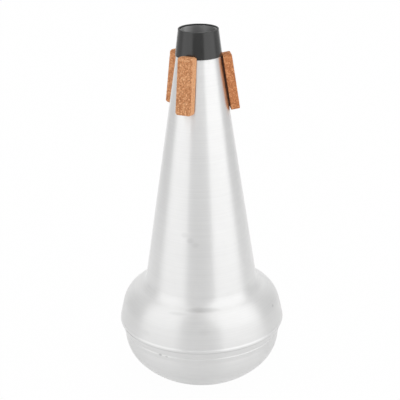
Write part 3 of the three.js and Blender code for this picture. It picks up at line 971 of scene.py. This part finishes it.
shell_finish = spun_aluminium("spun_aluminium_shell", SHELL_TONE, SHELL_MARKS_AND_REFLECTION, bore=True)
bowl_finish = spun_aluminium("spun_aluminium_bowl", BOWL_TONE, BOWL_MARKS, bore=False)
cork_finish = pressed_cork("pressed_cork")
glue_finish = dried_glue("dried_glue")

settle(turned("spun_shell", shell_outline()), "upper_shell", shell_finish)
settle(turned("spun_bowl", bowl_outline(), closed=False), "base_bowl",
       bowl_finish)
settle(turned("lap_bond", bond_outline()), "seam_bond", set_epoxy("set_epoxy"))
settle(turned("black_neck_sleeve", sleeve_outline()), "neck_sleeve",
       black_sleeve("black_sleeve"))
for seed, (place, strip) in enumerate(STRIPS.items(), start=1):
    cork = cork_strip(f"cork_strip_{place}", strip, seed)
    settle(cork, f"cork_{place}", cork_finish)
    glue = glue_pad(f"glue_pad_{place}", strip, seed)
    settle(glue, f"cork_glue_{place}", glue_finish)

# Studio: a pale floor that sweeps up behind the mute, and a pale room with a soft wall of light on
# either side that reaches over the mute. A strength is how bright the thing looks: 1 is white.
FLOOR_SHADE = 0.9
FLOOR_LIFT = 0.975            # how much of the floor the camera sees as plain white
MIRRORED_LIFT = 0.28          # and how much of it the metal mirrors
ROOM_STRENGTH = 0.75
FRONT_STRENGTH = 0.88         # of the gap between the walls, where the camera stands
HORIZON_STRENGTH = 0.38       # of a dim band round the horizon
HORIZON_BEHIND = 0.5          # share of it behind the mute
LEFT_STRENGTH = 1.11
RIGHT_STRENGTH = 1.21
CEILING_STRENGTH = 0.6
TABLE_STRENGTH = 1.6          # below the horizon, in front of the floor's edge
BACKDROP_STRENGTH = 0.875
LEFT_NEAR = math.radians(31)
RIGHT_NEAR = math.radians(27)
NEAR_BLUR = 0.07
WALL_LEAN = 0.1               # how far both walls' near edges lean to the left for a height
WALL_BACK = 0.03              # how far behind the mute's middle a wall ends, on the horizon
WALL_BACK_RISE = 1.5          # and how much further back for the fourth power of height
BACK_BLUR = 0.35
# Where each patch begins, on a direction of length 1, and how wide its blur is
FRONT_EDGE, FRONT_BLUR = -0.6, 0.4
CEILING_EDGE, CEILING_BLUR = 0.72, 0.2
HORIZON_LOW, HORIZON_HIGH, HORIZON_BLUR = -0.27, 0.05, 0.1
BACKDROP_EDGE, BACKDROP_BLUR = 0.8, 0.3
TABLE_EDGE, TABLE_BLUR = -0.3, 0.5
# The sweep, in metres
SWEEP_HALF_WIDTH = 0.5
SWEEP_FRONT, SWEEP_BACK = -0.42, 1.6
SWEEP_BEND, SWEEP_TOP = 0.5, 2.2
SWEEP_SPACING, BEND_SPACING = 0.2, 0.05


def background_share(finish, mirrored):
    """1 for the camera's own rays and the mirrored share for what metal and gloss show."""
    def ray(kind):
        """1 for rays of a kind, otherwise 0."""
        return finish.node("ShaderNodeLightPath", output=kind)
    return ray("Is Camera Ray") + (ray("Is Glossy Ray") + ray("Is Transmission Ray")) * mirrored


def sweep_floor():
    """Floor and backdrop in one sheet: flat, then a quarter round behind the mute, then upright."""
    bend_start = SWEEP_BACK - SWEEP_BEND
    line = joined(
        run(complex(SWEEP_FRONT, 0), complex(bend_start, 0), SWEEP_SPACING),
        bow(complex(bend_start, SWEEP_BEND), SWEEP_BEND, -np.pi / 2, 0, BEND_SPACING),
        run(complex(SWEEP_BACK, SWEEP_BEND), complex(SWEEP_BACK, SWEEP_TOP), SWEEP_SPACING),
    )[:, None]
    across = np.array([-SWEEP_HALF_WIDTH, SWEEP_HALF_WIDTH])
    grid = np.stack([across + 0 * line.real, line.real + 0 * across, line.imag + 0 * across], -1)
    number = np.arange(2 * len(line)).reshape(-1, 2)
    sheet = smooth_object(grid_mesh("studio_sweep", grid, number))
    finish = Finish(bpy.data.materials.new("white_sweep"))
    matt = finish.node("ShaderNodeBsdfDiffuse", {}, {"Color": grey(FLOOR_SHADE)})
    white = finish.node("ShaderNodeEmission", {}, {"Color": grey(1), "Strength": 1.0})
    share = background_share(finish, MIRRORED_LIFT) * FLOOR_LIFT
    shader = finish.node("ShaderNodeMixShader", {}, {0: share, 1: matt, 2: white})
    finish.node("ShaderNodeOutputMaterial", {}, {"Surface": shader})
    sheet.data.materials.append(finish.owner)


def studio_room():
    """The pale room and its patches of light, white where the camera looks. A patch is a product
    of soft steps on plane distances of the direction (x, y, z), and covers those before it."""
    world = bpy.data.worlds.new("studio_room")
    bpy.context.scene.world = world
    finish = Finish(world)
    direction = finish.node("ShaderNodeTexCoord", output="Generated")
    x, y, z = (finish.axis(direction, axis) for axis in "XYZ")

    def step(distance, blur):
        """A soft step from 0 to 1 where the distance is 0."""
        return finish.ramp(distance / blur + 0.5, [(0.0, 0.0), (1.0, 1.0)], "EASE")

    def beside(side, near):
        """The wall on one side, from its near edge on."""
        lean = z * (side * WALL_LEAN)
        return step(x * (side * math.cos(near)) + y * math.sin(near) + lean, NEAR_BLUR)

    in_front = step(FRONT_EDGE - y, FRONT_BLUR)
    above = step(z - HORIZON_LOW, HORIZON_BLUR)
    below = step(HORIZON_LOW - z, HORIZON_BLUR)
    band = above * step(HORIZON_HIGH - z, HORIZON_BLUR)
    reach_back = step(z ** 4 * WALL_BACK_RISE + WALL_BACK - y, BACK_BLUR)
    patches = (
        (in_front, FRONT_STRENGTH),
        (step(z - CEILING_EDGE, CEILING_BLUR), CEILING_STRENGTH),
        (band * (HORIZON_BEHIND + in_front * (1 - HORIZON_BEHIND)), HORIZON_STRENGTH),
        (step(y - BACKDROP_EDGE, BACKDROP_BLUR), BACKDROP_STRENGTH),
        (beside(-1, LEFT_NEAR) * reach_back, LEFT_STRENGTH),
        (beside(1, RIGHT_NEAR) * reach_back, RIGHT_STRENGTH),
        (below * step(TABLE_EDGE - y, TABLE_BLUR), TABLE_STRENGTH),
    )
    light = ROOM_STRENGTH
    for share, strength in patches:
        light = light + share * (strength - light)
    share = background_share(finish, 0.0)
    strength = light + share * (1 - light)
    shader = finish.node("ShaderNodeBackground", {}, {"Color": grey(1), "Strength": strength})
    finish.node("ShaderNodeOutputWorld", {}, {"Surface": shader})


def camera():
    """The photograph's view: pitched down at the mute and rolled a little."""
    data = bpy.data.cameras.new("studio_camera")
    data.sensor_width, data.lens = SENSOR, LENS
    stand = bpy.data.objects.new("studio_camera", data)
    forward = Vector((0, math.cos(CAMERA_PITCH), -math.sin(CAMERA_PITCH)))
    up = Vector((0, math.sin(CAMERA_PITCH), math.cos(CAMERA_PITCH)))
    right = Vector((1, 0, 0))
    cos, sin = math.cos(CAMERA_ROLL), math.sin(CAMERA_ROLL)
    turned_right, turned_up = cos * right + sin * up, cos * up - sin * right
    axes = Matrix((turned_right, turned_up, -forward)).transposed().to_4x4()
    stand.matrix_world = Matrix.Translation((CAMERA_SIDE, -CAMERA_BACK, CAMERA_HEIGHT)) @ axes
    bpy.context.scene.collection.objects.link(stand)
    bpy.context.scene.camera = stand


camera()
sweep_floor()
studio_room()
bpy.context.scene.view_settings.view_transform = "Standard"
